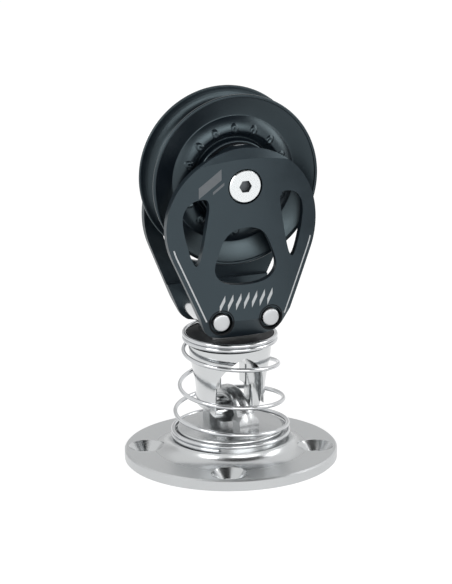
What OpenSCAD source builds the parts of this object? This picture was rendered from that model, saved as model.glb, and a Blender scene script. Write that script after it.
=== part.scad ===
// Stand-up block: a sheave block that a coil spring holds upright on a round deck plate.
// The origin is the centre of the deck plate's underside and +Z is up. The sheave
// turns about an axis parallel to Y, and the two cheeks face -Y and +Y.

/* [Deck plate] */
// Diameter of the round plate
base_d = 74; // [72:0.5:90]
// Thickness of the plate outside its boss
plate_t = 4; // [3:0.25:5.5]
// Bevel along the plate's upper and lower edges
plate_edge = 0.5; // [0.2:0.1:1]
// Distance from the plate's rim to the middle of each fixing hole
hole_edge = 7.5; // [6.5:0.25:8]
// Number of fixing holes
bolt_count = 4; // [3:1:6]
// Diameter of each fixing hole
bolt_hole_d = 6.4; // [5:0.1:7]
// Diameter of each countersink at the top of the plate
csk_d = 12.4; // [9:0.1:13]
// Turn of the fixing holes about Z
bolt_turn = -22.5; // [-45:0.5:45]
// Height of the boss above the underside
boss_h = 11.8; // [11:0.1:14]
// Height of the ledge that the spring stands on
ledge_h = 8; // [7:0.1:9]
// Width of the curved foot between the ledge and the plate
cove_w = 6; // [4:0.25:7]

/* [Arch] */
// Radius of the arch at the middle of its metal
arch_r = 10.25; // [10:0.05:12]
// Thickness of the arch, measured from the middle outwards
arch_t = 4.9; // [4:0.1:5.5]
// Width of the arch at its crown
arch_w = 5.6; // [5:0.1:5.8]
// Width of the arch at its feet
arch_foot_w = 7.6; // [6.8:0.1:7.8]
// Height of the straight legs below the round crown
arch_leg = 1.7; // [0.8:0.1:4]
// Turn of the arch about Z
arch_turn = -80; // [-90:1:-78]

/* [Toggle bail] */
// Diameter of the bar that passes under the arch
bar_d = 7.6; // [6:0.1:8]
// Free play between the bar and the arch
link_gap = 0.6; // [0.5:0.1:1]
// Width of the eye where the arch passes through it
eye_w = 12; // [11.6:0.1:12.2]
// Width of the eye above the arch
eye_top_w = 8.8; // [8.4:0.1:10]
// Height of the eye above the middle of the arch's crown
eye_rise = 15; // [14:0.1:20]
// Thickness of the bail's legs across the eye
bail_leg_t = 4.2; // [3.5:0.1:4.3]
// Depth of the bail from front to back
bail_d = 7.6; // [6:0.1:8]
// Metal above the eye, up to the shoulder under the ferrule
shoulder_t = 2.1; // [1.8:0.1:4]
// Depth of the bail's stem under the rivets, from front to back
stem_d = 14; // [12:0.5:18]
// Width of the neck above the shoulder
neck_w = 15; // [10:0.5:16]

/* [Ferrule and cap] */
// Wall of the ferrule
ferrule_t = 1.0; // [0.8:0.05:1.1]
// Gap between the bail and the ends of the ferrule's skirts
skirt_gap = 0.8; // [0.5:0.1:1.2]
// Gap between the bail and the skirts' ends, which turn in
skirt_end_gap = 0.3; // [0.2:0.1:0.5]
// How much the ferrule narrows down to its skirts
skirt_taper = 2.4; // [1.8:0.1:2.6]
// Height of the part of the skirts that turns in
skirt_end_h = 4.4; // [3.5:0.1:5]
// Width cut off each corner of the skirts' ends
skirt_corner = 1.4; // [1.2:0.1:1.6]
// Height from the ends of the skirts to the top of the ferrule
ferrule_h = 22; // [21:0.1:22.5]
// Height of the metal left above the ferrule's pointed openings
ferrule_lip = 1.8; // [1.2:0.1:4]
// Width of the ferrule's openings below their pointed arches
ferrule_gap_w = 17.8; // [14:0.1:18.4]
// Height of the pointed arch at the top of each opening
ferrule_arch_h = 13; // [10:0.1:14]
// Thickness of the cap inside the top coils
cap_t = 3.6; // [3:0.1:5]

/* [Spring] */
// Diameter of the spring wire
wire_d = 1.5; // [1.2:0.05:1.8]
// Gap between the ferrule and the top coils
coil_gap = 0.75; // [0.5:0.05:1.2]
// How much wider the bottom coils are than the top coils, in radius
coil_flare = 4.1; // [3.5:0.1:5]
// Closed turns at the top of the spring
coils_top = 1.75; // [1:0.25:2.5]
// Closed turns at the bottom of the spring
coils_bottom = 1.25; // [1:0.25:2.5]
// Height of the middle of the wire's top end above the cap
wire_proud = 0.4; // [0:0.1:0.8]
// Direction in which the bottom end of the wire stops
wire_end_angle = -123; // [-180:1:180]

/* [Cheeks] */
// Distance from the middle of the block to a cheek's outer face at the axle
cheek_out = 16.4; // [15.5:0.1:18]
// Distance from the middle of the block to the pads inside a cheek's foot
cheek_in = 11; // [10.6:0.1:12]
// Thickness of a cheek's bowed wall
cheek_wall = 2.4; // [2:0.1:3]
// How far a cheek's sides bow back from its middle
cheek_bow = 4.2; // [3:0.1:5]
// Radius of a cheek's round head
head_r = 27.3; // [26:0.1:29]
// Distance from the middle of the round head up to the axle
head_drop = 14.2; // [12:0.1:16]
// Radius of a cheek's corners round the rivets
foot_r = 6.7; // [5.5:0.1:7]
// Bevel at the top of a cheek's face
brow_w = 3.4; // [1.5:0.1:3.8]
// Inset of the raised boss inside a cheek from the edge of the sheave's hub
boss_inset = 0.2; // [0.1:0.05:0.5]

/* [Rivets and axle] */
// Distance between the two rivets
rivet_gap = 18; // [16:0.5:19]
// Diameter of a rivet
rivet_d = 6; // [5:0.1:6.4]
// Diameter of the recess round a rivet's head
rivet_recess_d = 7.8; // [6.8:0.1:8]
// Depth of the recess round a rivet's head
rivet_recess_t = 2.8; // [1.5:0.1:4]
// Height of the rivets above the cap
rivet_rise = 8.8; // [8.3:0.1:12]
// Height of the axle above the rivets
axle_rise = 47.4; // [46:0.1:52]
// Diameter of the axle
axle_d = 8; // [7:0.1:9]
// Diameter of the axle's flat heads
axle_head_d = 11.4; // [10.5:0.1:12]
// Thickness of the axle's flat heads
axle_head_t = 3.2; // [2.8:0.1:3.6]
// Width across flats of the socket in the axle's heads
socket_af = 4; // [3:0.5:5]
// Diameter of the stud that joins the axle to its nut
stud_d = 5; // [4:0.1:5.5]

/* [Sheave] */
// Diameter of the sheave
sheave_d = 60; // [57:0.5:62]
// Width of the sheave at its rims
sheave_w = 14.8; // [14:0.1:16]
// Depth of the rope groove
groove_depth = 7.4; // [5:0.1:8]
// Width of the flat band round each side of the sheave
band_w = 1; // [0.6:0.1:1.5]
// Depth of the dish in each side of the sheave
dish_depth = 3; // [1.5:0.1:3.6]
// Thickness of each rim at the mouth of the groove
rim_t = 1.1; // [0.8:0.1:1.6]
// Width of the hub
hub_w = 14.4; // [13.6:0.1:14.6]
// Outer radius of the hub
hub_r = 13.6; // [13.3:0.1:14]
// Outer diameter of the steel race on the axle
race_d = 15.9; // [15:0.1:16.5]
// Wall of the bush pressed into the sheave
bush_wall = 1.5; // [1.2:0.05:1.6]
// Diameter of the thrust balls
ball_d = 2.8; // [2.4:0.1:3]
// Distance from the hub's edge to the middles of the thrust balls
ball_edge = 2.4; // [2.2:0.05:2.5]
// Number of thrust balls on each side
ball_count = 16; // [10:1:18]
// Thickness of the thrust washers
washer_t = 0.8; // [0.6:0.05:1]

/* [Fits] */
// Radial clearance of the turning fit
run_gap = 0.05; // [0.03:0.01:0.08]
// Clearance between pieces that are clamped together
seat_gap = 0.05; // [0.02:0.01:0.1]
// Clearance round the neck
loose_gap = 0.3; // [0.2:0.05:0.4]
// Clearance round the heads of the axle
head_gap = 0.5; // [0.3:0.05:0.6]
// Room outside the bottom coil on its ledge
ledge_play = 0.25; // [0.1:0.05:0.5]
// Room between the boss and the inside of the bottom coil
boss_play = 0.65; // [0.4:0.05:0.9]

/* [Hidden] */
$fn = 96;
over = 1;

// Radii from the bail's eye out to the ferrule, the spring and the boss that carries it
eye_r = eye_w/2;
eye_top_r = eye_top_w/2;
bail_r = eye_r + bail_leg_t;
skirt_r = bail_r + skirt_gap + ferrule_t;
ferrule_r = skirt_r + skirt_taper;
coil_top_r = ferrule_r + coil_gap + wire_d/2;
coil_bottom_r = coil_top_r + coil_flare;
ledge_r = coil_bottom_r + wire_d/2 + ledge_play;
pilot_r = coil_bottom_r - wire_d/2 - boss_play;
bolt_r = base_d/2 - hole_edge;

// Heights, from the deck up
arch_z = boss_h + arch_leg;
crown_z = arch_z + arch_r;
bar_z = crown_z - arch_t/2 - link_gap - bar_d/2;
eye_waist = crown_z + arch_t/2 + link_gap;
eye_top = crown_z + eye_rise;
shoulder_z = eye_top + shoulder_t;
ferrule_top = shoulder_z + seat_gap + ferrule_t;
ferrule_bottom = ferrule_top - ferrule_h;
cap_bottom = ferrule_top + seat_gap;
cap_top = cap_bottom + cap_t;
block_bottom = cap_top + seat_gap;
rivet_z = cap_top + rivet_rise;
axle_z = rivet_z + axle_rise;

// Half widths and radii
rivet_x = rivet_gap/2;
rim_y = sheave_w/2;
hub_y = hub_w/2;
sheave_r = sheave_d/2;
race_r = race_d/2;
bush_r = race_r + run_gap + bush_wall;
ball_y = hub_y + 0.75;
washer_y = ball_y + ball_d/2 + run_gap;
boss_y = washer_y + washer_t;
bow_r = (head_r*head_r + cheek_bow*cheek_bow)/(2*cheek_bow);
head_z = axle_z - head_drop;
lip_r = sheave_r - band_w;
collar_r = hub_r + 0.9;
boss_r = hub_r - boss_inset;
ball_pcr = hub_r - ball_edge;
coil_open_z = ledge_h + wire_d*(coils_bottom + 0.5);
coil_shut_z = cap_top + wire_proud - wire_d*coils_top;

// Share of the open height that the wire has climbed after each half turn
climb = [0, 0.06, 0.21, 0.34, 0.5, 0.73, 0.89, 1];

steel = [0.80, 0.81, 0.82];
black_alloy = [0.20, 0.22, 0.24];
black_resin = [0.06, 0.07, 0.08];
white_resin = [0.88, 0.87, 0.82];

// Points along an arc, from angle a0 to a1
function arc(c, r, a0, a1, n = 16) =
    [for (i = [0:n]) let (a = a0 + (a1 - a0)*i/n) [c[0] + r*cos(a), c[1] + r*sin(a)]];

// Direction of the normal to the outer tangent of two circles, on their right side
function tangent_dir(c1, r1, c2, r2) =
    let (d = c2 - c1) atan2(d[1], d[0]) + acos((r1 - r2)/norm(d));

// Value on a smooth step from 0 to 1
function ease(t) = let (u = min(1, max(0, t))) u*u*(3 - 2*u);

// Value at t on a smooth curve through a list of evenly spaced values
function through(v, t) =
    let (n = len(v) - 1, i = min(n - 1, max(0, floor(t*n))), u = t*n - i,
        a = v[i], b = v[i + 1],
        ma = i > 0 ? (b - v[i - 1])/2 : 0.04,
        mb = i < n - 1 ? (v[i + 2] - a)/2 : 0.04)
    a*(1 + 2*u)*(1 - u)*(1 - u) + b*(3 - 2*u)*u*u + ma*u*(1 - u)*(1 - u) - mb*(1 - u)*u*u;

// Smooth closed curve that touches the middle of each edge of a polygon
function soft_loop(p, steps = 6) =
    let (m = len(p))
    [for (i = [0:m - 1], k = [0:steps - 1])
        let (t = k/steps, b = p[i], a = (p[(i + m - 1) % m] + b)/2, c = (b + p[(i + 1) % m])/2)
        a*(1 - t)*(1 - t) + 2*b*t*(1 - t) + c*t*t];

// Stands a flat outline, drawn with X and Z as its axes, between two values of Y
module slab(y0, y1) {
    translate([0, y1, 0]) rotate([90, 0, 0]) linear_extrude(y1 - y0) children();
}

// Turns a profile of radius against Y about the axle
module on_axle() {
    translate([0, 0, axle_z]) rotate([-90, 0, 0]) rotate_extrude($fn = 120) children();
}

// Straight rod along Y
module rod_y(r, y0, y1, x = 0, z = axle_z) {
    translate([x, y0, z]) rotate([-90, 0, 0]) cylinder(r = r, h = y1 - y0);
}

// Copies a piece to the far side of the block
module far_side() {
    mirror([0, 1, 0]) children();
}

// Section of the arch: a flat bar with round edges
module arch_section(width) {
    edge_r = arch_t/2;
    for (side = [-1, 1]) translate([0, side*(width/2 - edge_r)]) circle(edge_r, $fn = 40);
    square([arch_t, width - arch_t], center = true);
}

// Deck plate with its boss, ledge and fixing holes
module plate_profile() {
    cove = [for (i = [0:12]) let (a = 90*i/12)
        [ledge_r + cove_w*(1 - sin(a)), plate_t + (ledge_h - plate_t)*(1 - cos(a))]];
    polygon(concat(
        [[0, 0], [base_d/2 - plate_edge, 0], [base_d/2, plate_edge],
            [base_d/2, plate_t - plate_edge], [base_d/2 - plate_edge, plate_t]],
        cove,
        [[ledge_r - 0.3, ledge_h], [pilot_r, ledge_h]],
        arc([pilot_r - 1, boss_h - 1], 1, 0, 90, 6),
        [[0, boss_h]]));
}

// Wide flat legs that narrow towards the crown, just inside the round metal of the arch
module arch_legs() {
    inner = arch_r - (arch_t - 0.3)/2;
    outer = arch_r + (arch_t - 0.3)/2;
    shoulder = arch_z + arch_r*0.3;
    top = arch_z + arch_r*0.72;
    waist = arch_w/2 - 0.3;
    foot = arch_foot_w/2;
    drop = 1.2;
    intersection() {
        translate([0, foot, 0]) rotate([90, 0, 0]) linear_extrude(arch_foot_w) difference() {
            union() {
                translate([0, arch_z]) circle(outer);
                translate([-outer, boss_h - over]) square([2*outer, arch_leg + over]);
            }
            translate([0, arch_z]) circle(inner);
            translate([-inner, boss_h - 2*over]) square([2*inner, arch_leg + 2*over]);
        }
        translate([-2*arch_r, 0, 0]) rotate([90, 0, 90]) linear_extrude(4*arch_r) polygon([
            [-foot - over, 0], [foot + over, 0], [foot + over, shoulder - drop],
            [waist, shoulder + foot - waist], [waist, top], [-waist, top],
            [-waist, shoulder + foot - waist], [-foot - over, shoulder - drop]]);
    }
}

module arch() {
    rotate([0, 0, arch_turn]) {
        translate([0, 0, arch_z]) rotate([90, 0, 0])
            rotate_extrude(angle = 180) translate([arch_r, 0]) arch_section(arch_w);
        for (side = [-1, 1]) translate([side*arch_r, 0, boss_h - over])
            linear_extrude(arch_leg + over) arch_section(arch_w);
        arch_legs();
    }
}

// Cutter for one fixing hole: a through hole, a countersink and room for the screw's head
module fixing_cut() {
    csk_deep = (csk_d - bolt_hole_d)/2;
    clear = 0.1;
    rotate_extrude($fn = 48) polygon([[0, -over], [bolt_hole_d/2, -over],
        [bolt_hole_d/2, plate_t - csk_deep], [csk_d/2 + clear, plate_t + clear],
        [csk_d/2 + clear, 2*boss_h], [0, 2*boss_h]]);
}

module base_plate() {
    color(steel) {
        difference() {
            rotate_extrude($fn = 144) plate_profile();
            for (i = [0:bolt_count - 1]) rotate([0, 0, bolt_turn + 360*i/bolt_count])
                translate([bolt_r, 0, 0]) fixing_cut();
        }
        arch();
    }
}

// Point on the wire after a number of turns down from the top, and the wire's rings
function wire_open() = (len(climb) - 1)/2;
function wire_turns() = coils_top + wire_open() + coils_bottom;
function wire_rise(turn) =
    let (down = wire_turns() - turn, s = (down - coils_bottom)/wire_open())
    s <= 0 ? ledge_h + wire_d*(down + 0.5)
        : s >= 1 ? coil_shut_z + wire_d*(s - 1)*wire_open()
        : coil_open_z + (coil_shut_z - coil_open_z)*through(climb, s);
function wire_radius(turn) =
    coil_top_r + (coil_bottom_r - coil_top_r)*ease((turn - coils_top)/wire_open());
function wire_point(turn) =
    let (a = wire_end_angle - 360*(wire_turns() - turn), r = wire_radius(turn))
    [r*cos(a), r*sin(a), wire_rise(turn)];

module standup_spring() {
    rings = ceil(wire_turns()*26);
    sides = 8;
    last = rings*sides;
    points = [for (i = [0:rings]) let (turn = wire_turns()*i/rings,
            p = wire_point(turn), out = [p[0], p[1], 0]/norm([p[0], p[1]]))
        for (k = [0:sides - 1]) let (b = 360*(k + 0.5)/sides)
            p + wire_d/2*(cos(b)*out + sin(b)*[0, 0, 1])];
    color(steel) polyhedron(points, concat(
        [[for (k = [sides - 1:-1:0]) k]],
        [for (i = [0:rings - 1], k = [0:sides - 1]) let (n = (k + 1) % sides)
            [i*sides + k, i*sides + n, (i + 1)*sides + n, (i + 1)*sides + k]],
        [[for (k = [0:sides - 1]) last + k]]), convexity = 12);
}

// Forged bail: an eye below, a neck through the ferrule and a block between the cheeks
module eye_outline() {
    corner = 2;
    difference() {
        union() {
            translate([0, crown_z]) circle(crown_z - bar_z + bar_d/2 - 0.2);
            translate([-bail_r, crown_z]) square([2*bail_r, shoulder_z - crown_z - corner]);
            translate([corner - bail_r, shoulder_z - corner - over])
                square([2*(bail_r - corner), corner + over]);
            for (side = [-1, 1]) translate([side*(bail_r - corner), shoulder_z - corner])
                circle(corner, $fn = 32);
        }
        translate([0, eye_top - eye_top_r]) circle(eye_top_r, $fn = 48);
        translate([0, bar_z]) polygon([[-eye_r, 0], [eye_r, 0], [eye_r, eye_waist - bar_z],
            [eye_top_r, eye_waist + eye_r - eye_top_r - bar_z], [eye_top_r, eye_top - eye_top_r - bar_z],
            [-eye_top_r, eye_top - eye_top_r - bar_z],
            [-eye_top_r, eye_waist + eye_r - eye_top_r - bar_z], [-eye_r, eye_waist - bar_z]]);
    }
}

module toggle_bail() {
    round_r = bail_d/2;
    block_r = 4.6;
    color(steel) {
        intersection() {
            slab(-bail_d, bail_d) union() {
                eye_outline();
                translate([0, bar_z + eye_r]) square([2*eye_r, 2*eye_r], center = true);
            }
            union() {
                translate([-bail_r, 0, bar_z]) rotate([0, 90, 0]) cylinder(d = bar_d, h = 2*bail_r);
                for (side = [0, 1]) mirror([side, 0, 0]) {
                    bail_leg(eye_r, bar_z, eye_waist, round_r);
                    bail_leg(eye_top_r, eye_waist, eye_top, round_r);
                }
                translate([-bail_r, -round_r, eye_top - eye_top_r])
                    cube([2*bail_r, bail_d, eye_top_r + shoulder_t]);
            }
        }
        translate([-neck_w/2, -round_r + 0.2, shoulder_z - over])
            cube([neck_w, bail_d - 0.4, block_bottom - shoulder_z + 2*over]);
        difference() {
            union() {
                slab(-cheek_in + seat_gap, cheek_in - seat_gap) {
                    for (side = [-1, 1]) translate([side*rivet_x, rivet_z]) circle(block_r);
                    translate([0, rivet_z]) square([rivet_gap, 2*block_r], center = true);
                }
                translate([-rivet_x, -stem_d/2, block_bottom])
                    cube([rivet_gap, stem_d, rivet_z - block_bottom]);
            }
            for (side = [-1, 1])
                rod_y(rivet_d/2 + seat_gap, -cheek_in - over, cheek_in + over, side*rivet_x, rivet_z);
        }
    }
}

// A length of the eye's leg, from its inner face to the outside, with its corners rounded
module bail_leg(inner, z0, z1, round_r) {
    corner = 1.4;
    wide = bail_r - inner;
    translate([inner + wide/2, 0, z0]) linear_extrude(z1 - z0) {
        for (x = [-1, 1], y = [-1, 1])
            translate([x*(wide/2 - corner), y*(round_r - corner)]) circle(corner, $fn = 24);
        square([wide, 2*(round_r - corner)], center = true);
        square([wide - 2*corner, 2*round_r], center = true);
    }
}

// Pressed cup with two skirts, whose ends turn in: it guides the spring and shields the links
module ferrule_side(inset) {
    steps = 14;
    ends = 6;
    end_r = bail_r + skirt_end_gap + ferrule_t;
    polygon(concat([[0, -over], [end_r - inset, -over]],
        [for (i = [0:ends - 1]) let (t = 1 - i/ends)
            [skirt_r + (end_r - skirt_r)*pow(t, 1.5) - inset, skirt_end_h*(1 - t)]],
        [for (i = [0:steps]) let (t = i/steps)
            [skirt_r - inset + (ferrule_r - skirt_r)*ease(t), skirt_end_h + (ferrule_h - skirt_end_h)*t]],
        [[ferrule_r - inset, ferrule_h + over], [0, ferrule_h + over]]));
}

module ferrule_opening() {
    foot = ferrule_h - ferrule_lip - ferrule_arch_h;
    half = ferrule_gap_w/2;
    back = (ferrule_arch_h*ferrule_arch_h - half*half)/(2*half);
    blunt = 2;
    top = asin(ferrule_arch_h/(half + back)) - blunt;
    flare = half + skirt_corner;
    polygon(concat(
        [[-half, skirt_end_h], [-flare, 0], [-flare, -over], [flare, -over], [flare, 0],
            [half, skirt_end_h]],
        arc([-back, foot], half + back, 0, top, 12),
        arc([back, foot], half + back, 180 - top, 180, 12)));
}

module spring_ferrule() {
    color(steel) difference() {
        translate([0, 0, ferrule_bottom]) intersection() {
            cylinder(r = ferrule_r + over, h = ferrule_h);
            rotate_extrude() ferrule_side(0);
        }
        translate([0, 0, ferrule_bottom]) intersection() {
            translate([0, 0, -over]) cylinder(r = ferrule_r + over, h = ferrule_h + over - ferrule_t);
            rotate_extrude() ferrule_side(ferrule_t);
        }
        translate([0, 0, ferrule_bottom]) slab(-2*ferrule_r, 2*ferrule_r) ferrule_opening();
        neck_hole();
    }
}

// Clearance hole for the neck through the ferrule's top and the cap
module neck_hole() {
    wide = neck_w + 2*loose_gap;
    deep = bail_d + 2*loose_gap;
    translate([-wide/2, -deep/2, shoulder_z + seat_gap/2]) cube([wide, deep, cap_t + 2*ferrule_t]);
}

module spring_cap() {
    grip_r = coil_top_r - wire_d/2 - 0.1;
    lip = 0.06;
    color(black_resin) difference() {
        translate([0, 0, cap_bottom]) rotate_extrude() polygon([
            [0, 0], [grip_r - 0.5, 0], [grip_r, 0.5], [grip_r, cap_t - 0.7],
            [grip_r + lip, cap_t - 0.3], [grip_r - 0.2, cap_t], [0, cap_t]]);
        neck_hole();
    }
}

// Outline of a cheek: a round head that narrows to a foot round the two rivets
function cheek_points() =
    let (head = [0, head_z], foot = [rivet_x - 0.7, rivet_z],
        dir = tangent_dir(head, head_r, foot, foot_r))
    concat(arc(head, head_r, dir, 180 - dir, 64),
        arc([-foot[0], foot[1]], foot_r, 180 - dir, 270, 12),
        arc(foot, foot_r, 270, 360 + dir, 12));

// Corners of the polygons round the windows, from the middle of the head, as shares of its radius
side_window = [[0.451, 0.390], [0.608, 0.405], [0.755, 0.331], [0.828, 0.119],
    [0.685, -0.460], [0.597, -0.460], [0.509, 0.016]];
low_window = [[0.234, -0.005], [0.396, -0.405], [0.425, -0.588], [0.256, -0.745],
    [-0.256, -0.745], [-0.425, -0.588], [-0.396, -0.405], [-0.234, -0.005]];

module cheek_windows(y0, y1) {
    slab(y0, y1) translate([0, head_z]) {
        for (side = [-1, 1]) polygon(head_r*soft_loop([for (c = side_window) [side*c[0], c[1]]]));
        polygon(head_r*soft_loop(low_window));
    }
}

module cheek_front() {
    face_r = head_r + 1.2;
    color(black_alloy) difference() {
        intersection() {
            slab(-cheek_out - over, -1) polygon(cheek_points());
            translate([0, bow_r - cheek_out, rivet_z - foot_r - over])
                cylinder(r = bow_r, h = 2*axle_rise, $fn = 240);
            rod_y(2*head_r, -cheek_out - over, -cheek_out + cheek_bow + cheek_wall);
            brow(face_r);
        }
        difference() {
            translate([0, bow_r - cheek_out, rivet_z - foot_r - 2*over])
                cylinder(r = bow_r - cheek_wall, h = 2*axle_rise + 2*over, $fn = 240);
            rod_y(boss_r, -cheek_out, -boss_y);
            slab(-cheek_out, -cheek_in) foot_pad();
        }
        cheek_windows(-cheek_out - over, 0);
        rod_y(axle_d/2 + run_gap, -cheek_out - over, 0);
        rod_y(axle_head_d/2 + head_gap, -cheek_out - over, -cheek_out + axle_head_t);
        for (side = [-1, 1]) {
            rod_y(rivet_d/2 + seat_gap, -cheek_out - over, 0, side*rivet_x, rivet_z);
            rod_y(rivet_recess_d/2, -cheek_out - over, -cheek_out + rivet_recess_t,
                side*rivet_x, rivet_z);
        }
    }
}

// Cone that bevels the top of a cheek's face, deepest at the crown of its head
module brow(face_r) {
    centre = head_z + head_r - brow_w - face_r;
    slope = 1.75;
    deep = 30;
    translate([0, -cheek_out, centre]) rotate([-90, 0, 0]) translate([0, 0, -over])
        cylinder(r1 = face_r - over*slope, r2 = face_r + deep*slope, h = deep + over, $fn = 180);
}

// Thick pad inside a cheek's foot, which bears on the bail's block
module foot_pad() {
    intersection() {
        polygon(cheek_points());
        translate([0, rivet_z]) square([4*head_r, 2*foot_r + 1], center = true);
    }
}

module cheek_rear() {
    far_side() cheek_front();
}

// Rivet along Y with a slightly rounded head at each end
module rivet(x) {
    half = cheek_out - 0.5;
    crown = 0.4;
    color(steel) translate([x, 0, rivet_z]) rotate([-90, 0, 0]) rotate_extrude($fn = 48)
        polygon([[0, -half - crown], [rivet_d/2 - 1, -half - crown/2], [rivet_d/2, -half + crown],
            [rivet_d/2, half - crown], [rivet_d/2 - 1, half + crown/2], [0, half + crown]]);
}

module rivet_left() {
    rivet(-rivet_x);
}

module rivet_right() {
    rivet(rivet_x);
}

// Flat round head with a hexagon socket, facing -Y
module axle_head() {
    deep = 2.2;
    bevel = 0.3;
    difference() {
        on_axle() polygon([[0, -cheek_out], [axle_head_d/2 - bevel, -cheek_out],
            [axle_head_d/2, -cheek_out + bevel], [axle_head_d/2, -cheek_out + axle_head_t],
            [0, -cheek_out + axle_head_t]]);
        translate([0, -cheek_out - over, axle_z]) rotate([-90, 0, 0])
            cylinder(d = socket_af/cos(30), h = deep + over, $fn = 6);
    }
}

module axle_bolt() {
    color(steel) {
        axle_head();
        rod_y(axle_d/2, -cheek_out + axle_head_t, hub_y);
        rod_y(stud_d/2, hub_y, cheek_out - axle_head_t);
    }
}

module axle_nut() {
    color(steel) {
        far_side() axle_head();
        difference() {
            rod_y(axle_d/2, hub_y + seat_gap, cheek_out - axle_head_t);
            rod_y(stud_d/2 + seat_gap, hub_y, cheek_out - axle_head_t + over);
        }
    }
}

// Plain ring about the axle
module ring_y(r_in, r_out, y0, y1) {
    on_axle() translate([r_in, y0]) square([r_out - r_in, y1 - y0]);
}

module inner_race() {
    color(steel) ring_y(axle_d/2 + run_gap, race_r, -boss_y + seat_gap, boss_y - seat_gap);
}

module thrust_washer_front() {
    color(steel) ring_y(race_r + run_gap, boss_r - 0.2, -boss_y + seat_gap, -washer_y);
}

module thrust_washer_rear() {
    far_side() thrust_washer_front();
}

// Side of the sheave, as the distance from its middle at each radius
function flank(r) =
    let (dish_r = 0.68*sheave_r, crest_r = 0.567*sheave_r, dish_y = rim_y - dish_depth,
        edge_y = rim_y - 0.12*dish_depth, crest_y = rim_y - 0.4*dish_depth,
        root_y = rim_y - 0.93*dish_depth)
    r > dish_r ? dish_y + (edge_y - dish_y)*pow((r - dish_r)/(lip_r - dish_r), 1.6)
        : r > crest_r ? dish_y + (crest_y - dish_y)*ease((dish_r - r)/(dish_r - crest_r))
        : root_y + (crest_y - root_y)*ease((r - collar_r)/(crest_r - collar_r));

module sheave_half() {
    steps = 30;
    mouth_y = rim_y - rim_t;
    bottom_r = sheave_r - groove_depth;
    // Groove from its bottom to the rounded rim
    groove = [for (i = [0:14]) let (t = i/14)
        [bottom_r + groove_depth*pow(t, 1.9)*0.97, mouth_y*sin(90*t)]];
    side = [for (i = [0:steps]) let (r = lip_r + (collar_r - lip_r)*i/steps) [r, flank(r)]];
    polygon(concat([[bush_r + seat_gap, 0]], groove,
        [[sheave_r, mouth_y + 0.3], [sheave_r, rim_y - 0.25], [sheave_r - 0.25, rim_y],
            [lip_r + 0.05, rim_y]],
        side,
        [[hub_r + 0.3, hub_y - 0.3], [hub_r, hub_y], [bush_r + seat_gap, hub_y]]));
}

module sheave() {
    color(black_resin) difference() {
        union() {
            on_axle() sheave_half();
            far_side() on_axle() sheave_half();
        }
        for (side = [-1, 1]) translate([0, side*ball_y, axle_z]) rotate([90, 0, 0])
            rotate_extrude() translate([ball_pcr, 0]) circle(ball_d/2 + run_gap, $fn = 32);
    }
}

module sheave_bush() {
    color(white_resin) ring_y(race_r + run_gap, bush_r, -hub_y, hub_y);
}

// Runs its children at each thrust ball on the front side
module each_ball() {
    for (i = [0:ball_count - 1]) translate([0, -ball_y, axle_z]) rotate([0, 360*i/ball_count, 0])
        translate([ball_pcr, 0, 0]) children();
}

module thrust_balls_front() {
    color(white_resin) each_ball() sphere(d = ball_d, $fn = 32);
}

module thrust_balls_rear() {
    far_side() thrust_balls_front();
}

module ball_cage_front() {
    cage_t = 1.2;
    race_gap = 0.4;
    edge_gap = 0.3;
    color(black_resin) difference() {
        ring_y(race_r + race_gap, hub_r - edge_gap, -hub_y - run_gap - cage_t, -hub_y - run_gap);
        each_ball() rotate([90, 0, 0])
            cylinder(d = ball_d + 2*run_gap, h = 2*ball_d, center = true, $fn = 24);
    }
}

module ball_cage_rear() {
    far_side() ball_cage_front();
}

base_plate();
standup_spring();
toggle_bail();
spring_ferrule();
spring_cap();
cheek_front();
cheek_rear();
rivet_left();
rivet_right();
axle_bolt();
axle_nut();
inner_race();
thrust_washer_front();
thrust_washer_rear();
sheave();
sheave_bush();
thrust_balls_front();
thrust_balls_rear();
ball_cage_front();
ball_cage_rear();
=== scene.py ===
# %% [markdown]
# # Stand-up block
# A coil spring keeps a sheave block upright on a round deck plate, so that a slack line can't
# let it fall over and knock the deck. The solids come from CAD and are loaded as a fixed
# frame. This script gives them their finishes, and builds the surfaces that have to be
# smoother or softer than the solids: the wire, the sheave, the forged cheeks and the prints.

# %% Load the frame
import math
import bmesh
import bpy
import numpy as np
from mathutils import Matrix, Vector


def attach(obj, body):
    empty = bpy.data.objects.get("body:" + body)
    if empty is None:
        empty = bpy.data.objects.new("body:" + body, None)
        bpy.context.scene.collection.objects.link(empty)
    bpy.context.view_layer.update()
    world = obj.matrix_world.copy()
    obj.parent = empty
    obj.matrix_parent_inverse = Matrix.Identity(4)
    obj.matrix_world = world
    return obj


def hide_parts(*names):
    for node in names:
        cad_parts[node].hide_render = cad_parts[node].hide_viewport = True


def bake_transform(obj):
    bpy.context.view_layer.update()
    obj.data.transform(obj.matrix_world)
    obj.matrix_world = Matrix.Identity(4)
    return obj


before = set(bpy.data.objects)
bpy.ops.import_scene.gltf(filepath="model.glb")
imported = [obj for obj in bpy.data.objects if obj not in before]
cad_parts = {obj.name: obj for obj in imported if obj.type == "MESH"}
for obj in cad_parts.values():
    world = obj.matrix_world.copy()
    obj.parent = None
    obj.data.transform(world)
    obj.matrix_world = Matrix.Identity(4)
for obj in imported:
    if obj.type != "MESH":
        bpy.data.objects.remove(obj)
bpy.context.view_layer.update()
MM = 0.001
scene = bpy.context.scene

# %% [markdown]
# ## Camera
# The picture was taken from a little left of the front, from about 17 degrees above the deck.
# A long lens was used, because the far rim of the plate is hardly smaller than the near one.
# The place follows from angles and a distance: `back` points from the block to the camera,
# and the camera's axes are turned about it by the small roll that the picture has.

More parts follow.
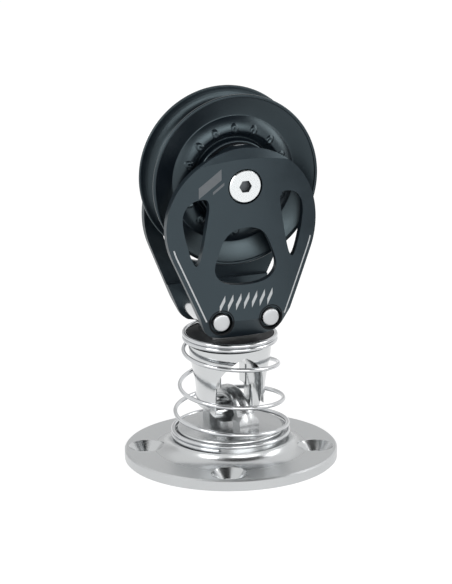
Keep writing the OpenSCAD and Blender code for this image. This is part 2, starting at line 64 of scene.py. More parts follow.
# %% Camera
turn, tip, roll = np.radians([-21.04, 16.87, -0.6])
distance, focal_px, picture_high = 1.5, 4350, 584
back = Vector((math.sin(turn)*math.cos(tip), -math.cos(turn)*math.cos(tip), math.sin(tip)))
side = Vector((math.cos(turn), math.sin(turn), 0))
up = back.cross(side)
aim = side*-1.15*MM + Vector((0, 0, 59.93*MM))
across = side*math.cos(roll) + up*math.sin(roll)
upward = up*math.cos(roll) - side*math.sin(roll)
lens = bpy.data.cameras.new("camera")
lens.lens = lens.sensor_width*focal_px/picture_high
camera = bpy.data.objects.new("camera", lens)
camera.matrix_world = Matrix((across, upward, back)).transposed().to_4x4()
camera.location = aim + back*distance
scene.collection.objects.link(camera)
scene.camera = camera
scene.view_settings.view_transform = "Standard"
print("lens:", round(lens.lens, 1), "mm")

# %% [markdown]
# ## Colours and nodes
# Colours are written as sRGB hex values, as a paint chart gives them, and Blender mixes light
# in linear values, so one function turns the first into the second. One more function adds a
# node with its settings and its links, which keeps each material to a few readable lines.

# %% Colours and nodes
def colour(chart):
    """Linear colour of an sRGB hex value: s/12.92 below 0.04045, else ((s + 0.055)/1.055)^2.4."""
    s = np.array([int(chart[i:i + 2], 16) for i in (1, 3, 5)])/255
    return (*np.where(s <= 0.04045, s/12.92, ((s + 0.055)/1.055)**2.4).tolist(), 1.0)


def add(tree, kind, inputs, **settings):
    """Adds a node. An input is a plain value, or another node's output that is linked to it."""
    made = tree.nodes.new("ShaderNode" + kind)
    for key, value in settings.items():
        setattr(made, key, value)
    for key, value in inputs.items():
        if isinstance(value, bpy.types.NodeSocket):
            tree.links.new(value, made.inputs[key])
        else:
            made.inputs[key].default_value = value
    return made


def blank(name):
    """An empty material, its node tree and its output node."""
    material = bpy.data.materials.new(name)
    material.use_nodes = True
    material.node_tree.nodes.clear()
    return material, material.node_tree, add(material.node_tree, "OutputMaterial", {})


print("white is", colour("#ffffff"))

# %% [markdown]
# ## Light
# A product like this is shot on white paper in a white tent, between big soft lamps at the
# left, at the right and beside the camera. Steel only shows what stands round it, so cards
# that the camera doesn't see draw its lines: a black one over the camera, a black one on the
# table at the right, and a grey backdrop that dulls the flats of the deck plate. A lamp's
# power is worked out from the share of full light that it gives to a surface that faces it.

# %% World and floor
world = bpy.data.worlds.new("white tent")
scene.world = world
world.use_nodes = True
sky = world.node_tree
sky.nodes.clear()


def seen_or_mirrored(tree):
    """1 for a ray that the camera, a mirror or glass sends out, and 0 for scattered light."""
    ray = add(tree, "LightPath", {})
    seen = add(tree, "Math", {0: ray.outputs["Is Camera Ray"], 1: ray.outputs["Is Glossy Ray"]},
               operation="MAXIMUM")
    return add(tree, "Math", {0: seen.outputs[0], 1: ray.outputs["Is Transmission Ray"]},
               operation="MAXIMUM").outputs[0]


plain = add(sky, "Background", {"Color": colour("#ffffff"), "Strength": 1.0})
soft = add(sky, "Background", {"Color": colour("#ffffff"), "Strength": 0.4})
mixed = add(sky, "MixShader", {0: seen_or_mirrored(sky), 1: soft.outputs[0], 2: plain.outputs[0]})
add(sky, "OutputWorld", {"Surface": mixed.outputs[0]})

paper, tree, out = blank("white_paper_floor")
matt = add(tree, "BsdfDiffuse", {"Color": colour("#f2f2f2")})
faint = add(tree, "BsdfDiffuse", {"Color": colour("#909090")})
glow = add(tree, "Emission", {"Color": colour("#ffffff"), "Strength": 0.88})
both = add(tree, "AddShader", {0: faint.outputs[0], 1: glow.outputs[0]})
mixed = add(tree, "MixShader", {0: seen_or_mirrored(tree), 1: matt.outputs[0], 2: both.outputs[0]})
tree.links.new(mixed.outputs[0], out.inputs["Surface"])


def sheet(name, width, depth, place, facing, material):
    """A flat rectangle about a place, whose front looks along a direction."""
    turned = Vector(facing).to_track_quat("Z", "Y").to_matrix()
    corners = [Vector(place) + turned @ Vector((x*width/2, y*depth/2, 0))
               for x, y in ((-1, -1), (1, -1), (1, 1), (-1, 1))]
    mesh = bpy.data.meshes.new(name)
    mesh.from_pydata(corners, [], [(0, 1, 2, 3)])
    mesh.materials.append(material)
    made = bpy.data.objects.new(name, mesh)
    scene.collection.objects.link(made)
    return made


floor = sheet("floor", 16, 16, (0, 0, 0), (0, 0, 1), paper)
print("floor:", tuple(floor.dimensions))

# %% Lamps and cards
def lamp(name, share, place, width, height):
    """A soft lamp aimed at the block. Power = share * pi^2 * distance^2 gives that share."""
    place = Vector(place)
    reach = place - aim
    light = bpy.data.lights.new(name, "AREA")
    light.shape, light.size, light.size_y = "RECTANGLE", width, height
    light.energy = share*math.pi**2*reach.length_squared
    made = bpy.data.objects.new(name, light)
    made.matrix_world = reach.to_track_quat("Z", "Y").to_matrix().to_4x4()
    made.location = place
    scene.collection.objects.link(made)
    return made


lamps = [lamp("lamp_left", 0.34, (-1.5, -0.7, 0.9), 0.9, 1.2),
         lamp("lamp_right", 0.24, (1.5, -0.6, 0.8), 0.7, 1.2),
         lamp("lamp_front", 0.34, (0.2, -2.0, 0.75), 1.7, 0.8)]
card, tree, out = blank("black_card")
velvet = add(tree, "BsdfDiffuse", {"Color": colour("#0d0e0f")})
tree.links.new(velvet.outputs[0], out.inputs["Surface"])
wall, tree, out = blank("grey_backdrop")
dim = add(tree, "Emission", {"Color": colour("#ffffff"), "Strength": 0.68})
tree.links.new(dim.outputs[0], out.inputs["Surface"])
cards = [sheet("card_above_camera", 4, 2.6, (0, -1.8, 1.9), (0, 0, -1), card),
         sheet("card_at_right", 0.62, 0.5, (0.49, -0.2, 0.002), (0, 0, 1), card),
         sheet("backdrop", 4.4, 1.2, (0, 2.4, 0.85), (0, -1, 0), wall)]
for each in cards:
    each.visible_camera = each.visible_shadow = False
cards[1].visible_diffuse = False  # the card that lies on the paper must not grey it
print(len(lamps), "lamps and", len(cards), "cards")

# %% [markdown]
# ## Stainless steel
# The metal is marine stainless, and its makers finish it in several ways. The wire is drawn
# and passivated, the pressed and forged parts are tumbled and electropolished, and the cast
# plate is left satin on its flats. All of them are the same metal, so one function makes
# them, and what differs is how rough they are and how coarse their grain is.

# %% Stainless steel
def stainless(name, chart, rough, grain_mm, depth_mm):
    """Stainless steel: metallic, its grain as a small bump and as a change of roughness."""
    material, tree, out = blank(name)
    here = add(tree, "TexCoord", {})
    grain = add(tree, "TexNoise", {"Vector": here.outputs["Object"], "Scale": 1/(grain_mm*MM),
                                   "Detail": 3.0, "Roughness": 0.55})
    cloudy = add(tree, "TexNoise", {"Vector": here.outputs["Object"], "Scale": 1/(9*MM),
                                    "Detail": 2.0})
    rub = add(tree, "MapRange", {0: cloudy.outputs["Fac"], 1: 0.35, 2: 0.65,
                                 3: rough*0.8, 4: rough*1.25})
    bump = add(tree, "Bump", {"Height": grain.outputs["Fac"], "Strength": 1.0,
                              "Distance": depth_mm*MM})
    shader = add(tree, "BsdfPrincipled", {"Base Color": colour(chart), "Metallic": 1.0,
                                          "Roughness": rub.outputs[0],
                                          "Normal": bump.outputs[0]})
    tree.links.new(shader.outputs[0], out.inputs["Surface"])
    return material


electropolished = stainless("electropolished_stainless", "#cdcfd0", 0.15, 1.1, 0.012)
drawn_wire = stainless("drawn_stainless_wire", "#c9cbcd", 0.12, 0.8, 0.008)
satin = stainless("satin_stainless", "#c3c5c7", 0.42, 0.3, 0.02)
turned = stainless("turned_stainless", "#cfd1d2", 0.24, 0.4, 0.01)
print("steels:", [m.name for m in (electropolished, drawn_wire, satin, turned)])

# %% [markdown]
# The deck plate is one casting with three finishes: its flats are satin from the tumbler, the
# cove round its boss is smoother, and the countersinks are machined. The distance from the
# plate's axis and from the holes' axes says which is which, so the roughness follows them.

# %% Deck plate
HOLE_CIRCLE, FIRST_HOLE = 29.5, -22.5
COVE_END, FLAT_START = 26.5, 28
SINK_R = 6.2


def deck_steel():
    """Cast stainless, satin outside the cove, with four bright countersinks."""
    material, tree, out = blank("cast_stainless_plate")
    here = add(tree, "TexCoord", {})
    flat = add(tree, "VectorMath", {0: here.outputs["Object"], 1: (1, 1, 0)}, operation="MULTIPLY")
    far = add(tree, "VectorMath", {0: flat.outputs[0]}, operation="LENGTH")
    near = None
    for angle in np.radians(FIRST_HOLE + 90*np.arange(4)):
        axis = (HOLE_CIRCLE*MM*math.cos(angle), HOLE_CIRCLE*MM*math.sin(angle), 0)
        away = add(tree, "VectorMath", {0: flat.outputs[0], 1: axis}, operation="DISTANCE")
        near = away.outputs["Value"] if near is None else add(
            tree, "Math", {0: near, 1: away.outputs["Value"]}, operation="MINIMUM").outputs[0]
    flats = add(tree, "MapRange", {0: far.outputs["Value"], 1: COVE_END*MM, 2: FLAT_START*MM,
                                   3: 0.27, 4: 0.36}, interpolation_type="SMOOTHSTEP")
    rub = add(tree, "MapRange", {0: near, 1: SINK_R*MM, 2: (SINK_R + 0.2)*MM, 3: 0.18,
                                 4: flats.outputs[0]})
    grain = add(tree, "TexNoise", {"Vector": here.outputs["Object"], "Scale": 1/(0.35*MM),
                                   "Detail": 4.0, "Roughness": 0.6})
    deep = add(tree, "MapRange", {0: far.outputs["Value"], 1: COVE_END*MM, 2: FLAT_START*MM,
                                  3: 0.3, 4: 1.0})
    bump = add(tree, "Bump", {"Height": grain.outputs["Fac"], "Strength": deep.outputs[0],
                              "Distance": 0.03*MM})
    shader = add(tree, "BsdfPrincipled", {"Base Color": colour("#c2c4c5"), "Metallic": 1.0,
                                          "Roughness": rub.outputs[0],
                                          "Normal": bump.outputs[0]})
    tree.links.new(shader.outputs[0], out.inputs["Surface"])
    return material


plate_steel = deck_steel()
print("plate:", plate_steel.name)

# %% [markdown]
# The axle's heads are turned and bright, and each has a hexagon socket with painted shade in
# it: a darker, rougher colour stands in for the shade inside the socket. The socket is told
# from the rest by its place: it lies near the axle's axis and deeper than the head's face.

# %% Axle heads
AXLE, CHEEK_OUT = 101.75, 16.4
SOCKET_IN, SOCKET_OUT = 2.6, 2.9


def head_steel():
    """Bright turned stainless with painted shade in the hexagon sockets: darker and rougher there.
    """
    material, tree, out = blank("turned_stainless_heads")
    here = add(tree, "TexCoord", {})
    flat = add(tree, "VectorMath", {0: here.outputs["Object"], 1: (1, 0, 1)}, operation="MULTIPLY")
    away = add(tree, "VectorMath", {0: flat.outputs[0], 1: (0, 0, AXLE*MM)}, operation="DISTANCE")
    parts = add(tree, "SeparateXYZ", {0: here.outputs["Object"]})
    depth = add(tree, "Math", {0: parts.outputs["Y"]}, operation="ABSOLUTE")
    inside = add(tree, "MapRange", {0: away.outputs["Value"], 1: SOCKET_IN*MM, 2: SOCKET_OUT*MM,
                                    3: 1.0, 4: 0.0})
    socket_shade = add(tree, "MapRange", {0: depth.outputs[0], 1: (CHEEK_OUT - 0.3)*MM,
                                   2: (CHEEK_OUT - 0.05)*MM, 3: inside.outputs[0], 4: 0.0})
    rings = add(tree, "TexNoise", {"Vector": here.outputs["Object"], "Scale": 1/(0.4*MM),
                                   "Detail": 3.0})
    bump = add(tree, "Bump", {"Height": rings.outputs["Fac"], "Strength": 1.0,
                              "Distance": 0.012*MM})
    # painted shade: inside the socket the colour turns dark grey in place of the shade that falls
    # there
    tone = add(tree, "Mix", {0: socket_shade.outputs[0], 6: colour("#ecf0f1"), 7: colour("#63676a")},
               data_type="RGBA")
    rub = add(tree, "MapRange", {0: socket_shade.outputs[0], 3: 0.26, 4: 0.5})
    shader = add(tree, "BsdfPrincipled", {"Base Color": tone.outputs[2], "Metallic": 1.0,
                                          "Roughness": rub.outputs[0],
                                          "Normal": bump.outputs[0]})
    tree.links.new(shader.outputs[0], out.inputs["Surface"])
    return material


bright_heads = head_steel()
print("heads:", bright_heads.name)

# %% [markdown]
# ## Black finishes
# The cheeks are forged aluminium, hard-anodised: nearly black in themselves, with a bluish sheen
# that they take from the white paper, blurred by a fine even grain. The sheave, the cap and
# the cages are moulded resin, as dark and a little glossier, with the faint waviness of a
# moulded skin. The thrust balls and the bush are white acetal.

# %% Black finishes
def grained(name, chart, other, rough, grain_mm, depth_mm, patch_mm, level=0.5, tint="#ffffff"):
    """A non-metal whose colour drifts between two tones and whose skin has a fine grain."""
    material, tree, out = blank(name)
    here = add(tree, "TexCoord", {})
    patch = add(tree, "TexNoise", {"Vector": here.outputs["Object"], "Scale": 1/(patch_mm*MM),
                                   "Detail": 3.0})
    tone = add(tree, "Mix", {0: patch.outputs["Fac"], 6: colour(chart), 7: colour(other)},
               data_type="RGBA")
    rub = add(tree, "MapRange", {0: patch.outputs["Fac"], 1: 0.3, 2: 0.7,
                                 3: rough*0.92, 4: rough*1.08})
    grain = add(tree, "TexNoise", {"Vector": here.outputs["Object"], "Scale": 1/(grain_mm*MM),
                                   "Detail": 2.0, "Roughness": 0.6})
    bump = add(tree, "Bump", {"Height": grain.outputs["Fac"], "Strength": 1.0,
                              "Distance": depth_mm*MM})
    shader = add(tree, "BsdfPrincipled", {"Base Color": tone.outputs[2],
                                          "Roughness": rub.outputs[0],
                                          "Specular IOR Level": level,
                                          "Specular Tint": colour(tint),
                                          "Normal": bump.outputs[0]})
    tree.links.new(shader.outputs[0], out.inputs["Surface"])
    return material


anodised = grained("hard_anodised_forging", "#121920", "#161d24", 0.38, 0.3, 0.012, 6, 0.75,
                   "#ddf6ff")
sheave_resin = grained("moulded_black_resin", "#0a1017", "#0d131a", 0.3, 0.5, 0.01, 4, 0.7,
                       "#ddf6ff")
cap_resin = grained("moulded_black_cap", "#080c11", "#0b0f14", 0.5, 0.4, 0.01, 4, 0.22)
acetal = grained("white_acetal", "#e9e7e0", "#e2dfd6", 0.35, 0.5, 0.005, 3)
# painted shade: a near-black finish for the rings in the rivet recesses, standing in for the shade
# there
painted_recess_shade = grained("painted_recess_shade_edge", "#05080b", "#070a0e", 0.55, 0.3, 0.01, 3, 0.15)
pale_ink = grained("printed_pale_ink", "#c3c7c9", "#b9bdbf", 0.5, 0.3, 0.005, 2)
grey_ink = grained("printed_grey_ink", "#64696d", "#5e6367", 0.5, 0.3, 0.005, 2)
print("blacks:", anodised.name, sheave_resin.name, cap_resin.name)

# %% [markdown]
# ## The nodes that stay as they are
# The cap, the axle's heads, washers, race, bush, balls and cages are exact solids already. Each
# of them keeps its CAD mesh and only gets its finish.

# %% Finishes of the carried-over nodes
finishes = {
    "spring_cap": cap_resin, "axle_bolt": bright_heads, "axle_nut": bright_heads,
    "inner_race": turned, "thrust_washer_front": turned, "thrust_washer_rear": turned,
    "sheave_bush": acetal, "thrust_balls_front": acetal, "thrust_balls_rear": acetal,
    "ball_cage_front": cap_resin, "ball_cage_rear": cap_resin}
for node, finish in finishes.items():
    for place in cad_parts[node].material_slots:
        place.material = finish
print(len(finishes), "nodes dressed")

# %% [markdown]
# ## Surfaces from arrays
# A new piece is a grid of points, rows by columns, that numpy works out in millimetres. This
# function joins neighbouring points into four-sided faces. A direction may close on itself,
# as round a tube, and the first and last rows may be capped. A closed mesh whose signed
# volume comes out negative is inside out, so its faces are turned round.

# %% Surfaces from arrays
def surface(name, grid, finish, ring=(False, False), caps=False, sharp=40):
    """Mesh of a grid or a stack of them. A face joins (i, j), (i+1, j), (i+1, j+1), (i, j+1)."""
    stack = grid.reshape(-1, *grid.shape[-3:])
    count, rows, columns = stack.shape[:3]
    index = np.arange(count*rows*columns).reshape(count, rows, columns)
    wide = np.concatenate([index, index[:, :1]], 1) if ring[0] else index
    wide = np.concatenate([wide, wide[:, :, :1]], 2) if ring[1] else wide
    faces = np.stack([wide[:, :-1, :-1], wide[:, 1:, :-1], wide[:, 1:, 1:], wide[:, :-1, 1:]], -1)
    faces = faces.reshape(-1, 4).tolist()
    if caps:
        faces += index[:, 0, ::-1].tolist() + index[:, -1].tolist()
    mesh = bpy.data.meshes.new(name)
    mesh.from_pydata((stack.reshape(-1, 3)*MM).tolist(), [], faces)
    if caps or all(ring):
        shell = bmesh.new()
        shell.from_mesh(mesh)
        if shell.calc_volume(signed=True) < 0:
            bmesh.ops.reverse_faces(shell, faces=shell.faces)
        shell.to_mesh(mesh)
        shell.free()
    mesh.shade_smooth()
    mesh.set_sharp_from_angle(angle=math.radians(sharp))
    mesh.materials.append(finish)
    made = bpy.data.objects.new(name, mesh)
    scene.collection.objects.link(made)
    print(name, "has", len(faces), "faces")
    return made


def ease(t):
    """Smooth step from 0 to 1: 3t^2 - 2t^3."""
    t = np.clip(t, 0, 1)
    return t*t*(3 - 2*t)


# %% [markdown]
# ## The spring
# One length of wire is wound on a cone: a closed turn and a quarter on the plate's ledge, three
# and a half open turns, and closed turns round the ferrule. It isn't wound evenly, so the
# heights follow shares that were measured every half turn, joined by a smooth curve. The wire
# is made as two separate meshes that meet low down, where the wire is well clear of the
# ferrule, so the turns round the ferrule all lie in the upper one.

# %% Path of the wire
WIRE, TOP_R, BOTTOM_R = 1.5, 15.9, 20.0
CLOSED, OPEN, SHUT = 1.25, 3.5, 1.75  # turns at the bottom, between, and at the top
LEDGE, CAP_TOP, WIRE_END, MEETING = 8.0, 45.55, -123, 23.0
shares = np.array([0, 0.06, 0.21, 0.34, 0.5, 0.73, 0.89, 1])
turns = CLOSED + OPEN + SHUT
low = LEDGE + WIRE*(CLOSED + 0.5)
high = CAP_TOP + 0.4 - WIRE*SHUT


def climb(t):
    """Cubic Hermite curve through the shares; a slope is half the step between neighbours."""
    slope = np.concatenate([[0.04], (shares[2:] - shares[:-2])/2, [0.04]])
    step = np.clip((t*(len(shares) - 1)).astype(int), 0, len(shares) - 2)
    u = t*(len(shares) - 1) - step
    return (shares[step]*(1 + 2*u)*(1 - u)**2 + shares[step + 1]*(3 - 2*u)*u*u
            + slope[step]*u*(1 - u)**2 - slope[step + 1]*(1 - u)*u*u)


def wire_path(gone):
    """Radius, angle and height of the wire after a number of turns up from its lower end."""
    share = (gone - CLOSED)/OPEN
    raised = low + (high - low)*climb(np.clip(share, 0, 1))
    height = np.where(share < 0, LEDGE + WIRE*(gone + 0.5),
                      raised + WIRE*np.maximum(gone - CLOSED - OPEN, 0))
    radius = BOTTOM_R + (TOP_R - BOTTOM_R)*ease(share)
    return radius, np.radians(WIRE_END - 360*gone), height


gone = np.linspace(0, turns, 481)
middle = int(np.searchsorted(wire_path(gone)[2], MEETING))
print("wire:", turns, "turns; the halves meet at", round(wire_path(gone)[2][middle], 1), "mm")

# %% Wire
def wire_tube(gone, sides=18):
    """Circles of the wire's radius, each in the plane of the outward and upward directions."""
    radius, angle, height = wire_path(gone)
    outward = np.stack([np.cos(angle), np.sin(angle), 0*angle], -1)
    core = outward*radius[:, None] + np.stack([0*height, 0*height, height], -1)
    about = np.linspace(0, 2*np.pi, sides, endpoint=False)[None, :, None]
    upright = np.array([0, 0, 1.0])
    return core[:, None] + WIRE/2*(np.cos(about)*outward[:, None] + np.sin(about)*upright)


lower = surface("spring_lower_half", wire_tube(gone[:middle + 1]), drawn_wire,
                ring=(False, True), caps=True)
upper = surface("spring_upper_half", wire_tube(gone[middle:]), drawn_wire,
                ring=(False, True), caps=True)
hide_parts("standup_spring")
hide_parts("standup_spring")
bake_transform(lower)
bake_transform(upper)

# %% [markdown]
# ## The sheave
# The sheave is moulded in one go and turned true, so it is a profile carried round the axle.
# The profile is a list of radii and distances from the middle: groove, rolled rim, dished
# flank, crest ring and hub. Each of its corners is then cut and bridged by a short parabola,
# as a mould's corners are never sharp.

# %% Profile of the sheave
RIM_R, RIM_Y, GROOVE_R, HUB_Y, BORE = 30, 7.4, 22.6, 7.2, 9.55
CREASE_R, CREST_R, ROOT_R = 22.2, 17.2, 14.5
RACE_R, RACE_Y, BALL_R = 11.2, 7.95, 1.45


def flank(r):
    """Distance of the flank from the middle: a dish, a crease, then the crest ring."""
    dish = 4.4 + 2.65*np.clip((r - 20.4)/8.6, 0, 1)**1.6
    crest = 4.62 + 2.15*(1 - (1 - np.clip((CREASE_R - r)/4.9, 0, 1))**1.7)
    root = 4.6 + 2.17*ease((r - ROOT_R)/2.7)
    return np.where(r > CREASE_R, dish, np.where(r > CREST_R, crest, root))


def rounded(points, cut):
    """Closed outline whose corners are parabolas: (1-t)^2 a + 2t(1-t) p + t^2 b."""
    ahead, behind = np.roll(points, -1, 0) - points, np.roll(points, 1, 0) - points
    size_a, size_b = np.linalg.norm(ahead, axis=1), np.linalg.norm(behind, axis=1)
    reach = np.minimum(cut, 0.4*np.minimum(size_a, size_b))[:, None]
    start, stop = points + behind/size_b[:, None]*reach, points + ahead/size_a[:, None]*reach
    t = np.linspace(0, 1, 4)[None, :, None]
    a, p, b = start[:, None], points[:, None], stop[:, None]
    return ((1 - t)**2*a + 2*t*(1 - t)*p + t*t*b).reshape(-1, 2)


t = np.linspace(0, 1, 15)
groove = np.stack([GROOVE_R + 7.178*t**1.9, 6.3*np.sin(np.pi/2*t)], -1)
rim = np.array([[RIM_R, 6.6], [RIM_R, 7.15], [29.75, RIM_Y], [29.05, RIM_Y]])
r = np.concatenate([np.linspace(29, CREASE_R, 15), np.linspace(21.7, ROOT_R, 19)])
inner = np.array([[13.9, 6.9], [13.6, HUB_Y], [12.441, HUB_Y]])
angle = np.radians(np.linspace(-31.15, -148.85, 9))
race = np.stack([RACE_R + BALL_R*np.cos(angle), RACE_Y + BALL_R*np.sin(angle)], -1)
half = np.concatenate([groove, rim, np.stack([r, flank(r)], -1), inner, race,
                       [[9.95, HUB_Y], [BORE, HUB_Y]]])
outline = rounded(np.concatenate([half, half[:0:-1]*(1, -1)]), 0.22)
print("sheave profile:", len(outline), "points")

# %% Sheave
def about_axle(profile, steps):
    """Each point (radius, y) goes round the axle: x = r sin a, z = axle + r cos a."""
    a = np.linspace(0, 2*np.pi, steps, endpoint=False)[:, None]
    radius, y = profile[:, 0], profile[:, 1]
    return np.stack([radius*np.sin(a), y + 0*a, AXLE + radius*np.cos(a)], -1)


sheave = surface("sheave_moulding", about_axle(outline, 180), sheave_resin,
                 ring=(True, True), sharp=50)
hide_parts("sheave")
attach(sheave, "sheave")

# %% [markdown]
# A ring of raised marks stands on the crest of each flank. They are plain ovals that point at
# the axle and show that the sheave turns. Each one is a low dome with a dimple in its middle,
# so that its edge catches the light as a ring.

# %% Raised marks
def domes(radius, angles, long_mm, wide_mm, high_mm, side, sides=18, rings=8):
    """Ovals about a circle. Height = high (1 - s^8)(0.35 + 0.65 sin^2(pi s)), s from 0 to 1."""
    a = np.asarray(angles)[:, None, None]
    s = np.linspace(0, 1, rings)[None, :, None]
    b = np.linspace(0, 2*np.pi, sides, endpoint=False)[None, None, :]
    r = radius + s*wide_mm/2*np.cos(b)
    turn = a + s*long_mm/2*np.sin(b)/radius
    rise = high_mm*(1 - s**8)*(0.35 + 0.65*np.sin(np.pi*s)**2)
    y = side*(flank(r) - 0.05 + rise) + 0*turn
    return np.stack([r*np.sin(turn), y, AXLE + r*np.cos(turn)], -1)


spots = np.radians(np.arange(16)*22.5)
for name, side in (("front", -1), ("rear", 1)):
    marks = surface("sheave_marks_" + name, domes(17.6, spots, 3.0, 5.0, 0.38, side),
                    sheave_resin, ring=(False, True), sharp=80)
    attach(marks, "sheave")

# %% [markdown]
# ## Soft edges
# Forged, cast and pressed parts are trimmed and tumbled, so no edge on them is quite sharp. The
# CAD solids have the right shapes with hard edges. A copy of each is merged into one skin, and
# a Bevel modifier rounds the edges that turn by more than an angle. The highlights that this
# gives are what tells the eye that a part is solid metal. The cheeks are also bowed, and a bow
# made of a few flats would show them, so upright cuts split those flats into narrow strips
# that are moved onto the true curve.

# %% Bowed face
BOW_R = 90.82


def bow(x):
    """Distance of a cheek's face from the middle of the block: 16.4 - R + sqrt(R^2 - x^2)."""
    return CHEEK_OUT - BOW_R + np.sqrt(BOW_R**2 - x*x)


def true_bow(mesh):
    """Moves points within 0.06 mm of the bowed face onto it."""
    points = np.empty(len(mesh.vertices)*3)
    mesh.vertices.foreach_get("co", points)
    points = points.reshape(-1, 3)/MM
    ideal = bow(np.clip(points[:, 0], -40, 40))
    near = np.abs(np.abs(points[:, 1]) - ideal) < 0.06
    points[near, 1] = np.sign(points[near, 1])*ideal[near]
    mesh.vertices.foreach_set("co", (points*MM).ravel())
    return int(near.sum())


print("at its edge the face lies", round(CHEEK_OUT - float(bow(27.3)), 2), "mm back")

# %% Soft edges
def softened(node, body, finish, width_mm, angle, segments=2, bowed=False, crease=30):
    """A copy of a node with its doubles merged and its edges rounded by a width.

    An edge that turns by more than `angle` is rounded, and one that turns by more than
    `crease` stays a crease in the shading.
    """
    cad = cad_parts[node].data
    points = np.empty(len(cad.vertices)*3)
    corners = np.empty(len(cad.loops), int)
    cad.vertices.foreach_get("co", points)
    cad.loops.foreach_get("vertex_index", corners)
    mesh = bpy.data.meshes.new(node + "_soft")
    mesh.from_pydata(points.reshape(-1, 3).tolist(), [], corners.reshape(-1, 3).tolist())
    skin = bmesh.new()
    skin.from_mesh(mesh)
    bmesh.ops.remove_doubles(skin, verts=skin.verts, dist=2e-6)
    bmesh.ops.dissolve_degenerate(skin, edges=skin.edges, dist=2e-6)
    bmesh.ops.dissolve_limit(skin, angle_limit=math.radians(0.6), verts=skin.verts,
                             edges=skin.edges)
    for x in np.arange(-27, 27.1, 1.5) if bowed else []:
        parts = skin.verts[:] + skin.edges[:] + skin.faces[:]
        bmesh.ops.bisect_plane(skin, geom=parts, dist=1e-6, plane_co=(x*MM, 0, 0),
                               plane_no=(1, 0, 0))
    skin.to_mesh(mesh)
    skin.free()
    if bowed:
        print(node, "has", true_bow(mesh), "points on its bowed face")
    mesh.shade_smooth()
    mesh.set_sharp_from_angle(angle=math.radians(crease))
    mesh.materials.append(finish)
    made = bpy.data.objects.new(node + "_soft", mesh)
    scene.collection.objects.link(made)
    bevel = made.modifiers.new("soft edges", "BEVEL")
    bevel.width, bevel.segments = width_mm*MM, segments
    bevel.limit_method, bevel.angle_limit = "ANGLE", math.radians(angle)
    bevel.harden_normals = True
    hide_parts(node)
    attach(made, body)
    print(made.name, "has", len(mesh.polygons), "faces before its bevel")
    return made


softened("cheek_front", "head", anodised, 0.45, 32, bowed=True, crease=12)
softened("cheek_rear", "head", anodised, 0.45, 32, bowed=True, crease=12)
softened("toggle_bail", "head", electropolished, 0.6, 40)
softened("spring_ferrule", "head", electropolished, 0.2, 50)
softened("base_plate", "base", plate_steel, 0.3, 40, 3)

# %% [markdown]
# The rivets are pins with flat heads that were faced off, so their edges are tight and their
# faces show fine tool marks. Each one is a profile of radius against y, turned about its axis.

# %% Rivets
RIVET_X, RIVET_Z = 9.0, 54.35


def pin(x, z, profile, steps=48):
    """Each point (radius, y) goes round the pin's axis: x + r sin a, y, z + r cos a."""
    a = np.linspace(0, 2*np.pi, steps, endpoint=False)
    radius, y = profile[:, :1], profile[:, 1:]
    return np.stack([x + radius*np.sin(a), y + 0*a, z + radius*np.cos(a)], -1)


head = np.array([[1.2, -16.28], [2.4, -16.26], [2.72, -16.18], [2.92, -16.0], [3.0, -15.7]])
shank = np.concatenate([head, head[::-1]*(1, -1)])
for name, x in (("rivet_left", -RIVET_X), ("rivet_right", RIVET_X)):
    made = surface(name + "_turned", pin(x, RIVET_Z, shank), satin,
                   ring=(False, True), caps=True)
    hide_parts(name)
    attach(made, "head")

# %% [markdown]
# ## Prints and painted shade on the cheeks
# The cheeks carry plain printed stripes and lines in two greys. A print is a very thin
# sheet that lies 0.02 mm above the bowed face, so it stays crisp at its edges. Each is drawn
# flat, as x and z, and the bow of the cheek gives its y. The rims and walls of the recesses
# round the rivets get painted shade: near-black rings laid on in the same way, which stand in
# for the shade in the recesses.

# %% Prints
HEAD_Z, HEAD_R = 87.55, 27.3
FOOT_X, FOOT_Z, FOOT_R = 8.3, 54.35, 6.7
EDGE_LEAN = -22.98


def on_cheek(flat, far, lift=0.02):
    """Lays flat points a little above the bowed front face, or turned round on the rear one."""
    x, z = flat[..., 0], flat[..., 1]
    y = -bow(x) - lift
    return np.stack([-x, -y, z], -1) if far else np.stack([x, y, z], -1)


def bars(corners, steps=8):
    """Four-cornered bars: a point is the bilinear mix of its corners."""
    c = np.asarray(corners, float)[:, :, None, None]
    s, t = np.meshgrid(np.linspace(0, 1, steps), np.linspace(0, 1, steps), indexing="ij")
    s, t = s[None, ..., None], t[None, ..., None]
    c = c.transpose(1, 0, 2, 3, 4)
    return (1 - s)*(1 - t)*c[0] + s*(1 - t)*c[1] + s*t*c[2] + (1 - s)*t*c[3]


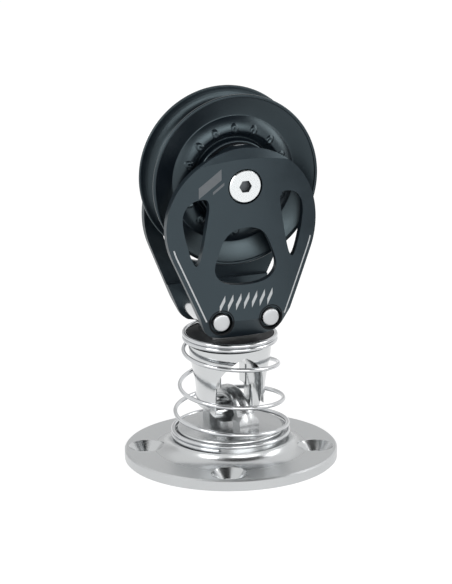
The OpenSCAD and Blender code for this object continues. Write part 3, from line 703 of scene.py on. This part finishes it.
def edge_line(side, inset, wide, start, stop, steps=40):
    """A line at an even distance inside the cheek's edge, along its straight and its round."""
    lean = np.radians(EDGE_LEAN)
    aside = np.array([np.cos(lean), np.sin(lean)])
    centre = np.array([0, HEAD_Z])
    low = np.array([FOOT_X, FOOT_Z]) + (FOOT_R - inset)*aside
    top = centre + (HEAD_R - inset)*aside
    straight = np.linalg.norm(top - low)
    along = np.linspace(start, stop, steps)
    curve = lean + np.maximum(along - straight, 0)/(HEAD_R - inset)
    share = np.clip(along/straight, 0, 1)[:, None]
    outward = np.stack([np.cos(curve), np.sin(curve)], -1)
    middle = np.where(along[:, None] < straight, low + (top - low)*share,
                      centre + (HEAD_R - inset)*outward)
    line = np.stack([middle - outward*wide/2, middle + outward*wide/2], 1)
    return line[:, ::-1]*(-1, 1) if side < 0 else line


def stripe(x, z, lean, long_mm, wide_mm):
    """Corners of a bar that leans by an angle, about its middle."""
    a = math.radians(lean)
    d, n = np.array([math.cos(a), math.sin(a)])*long_mm/2, np.array([0, 1])*wide_mm/2
    m = np.array([x, z])
    return [m - d - n, m + d - n, m + d + n, m - d + n]


for name, far in (("front", False), ("rear", True)):
    grey = surface("stripes_" + name, on_cheek(bars([stripe(-12.5, 103.7, 38, 10, 3.8),
                                                     stripe(-9.6, 101.9, 38, 5, 1.0)]), far),
                   grey_ink)
    lines = [on_cheek(edge_line(side, 1.5, 0.5, 3, 31), far) for side in (-1, 1)]
    pale = surface("edge_lines_" + name, np.array(lines), pale_ink)
    dashes = surface("dashes_" + name, on_cheek(bars(
        [stripe(x, 61.5 + 0.05*x, 62, 4.2, 2.2) for x in np.arange(-3, 4)*2.9], 3), far),
        pale_ink)
    around = np.linspace(0, 2*np.pi, 48, endpoint=False)[:, None]
    ring = np.array([[4.5, 4.15, 3.86, 3.82, 3.82]])
    rims = [np.stack([x + ring*np.cos(around), RIVET_Z + ring*np.sin(around)], -1)
            for x in (-RIVET_X, RIVET_X)]
    # painted shade: near-black rings line the rim and wall of each rivet recess, for the shade in
    # it
    sinks = on_cheek(np.array(rims), far, [0.02, 0.02, -0.1, -0.4, -2.2])
    dark = surface("recess_shade_rims_" + name, sinks, painted_recess_shade,
                   ring=(True, False))
    for each in (grey, pale, dashes, dark):
        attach(each, "head")
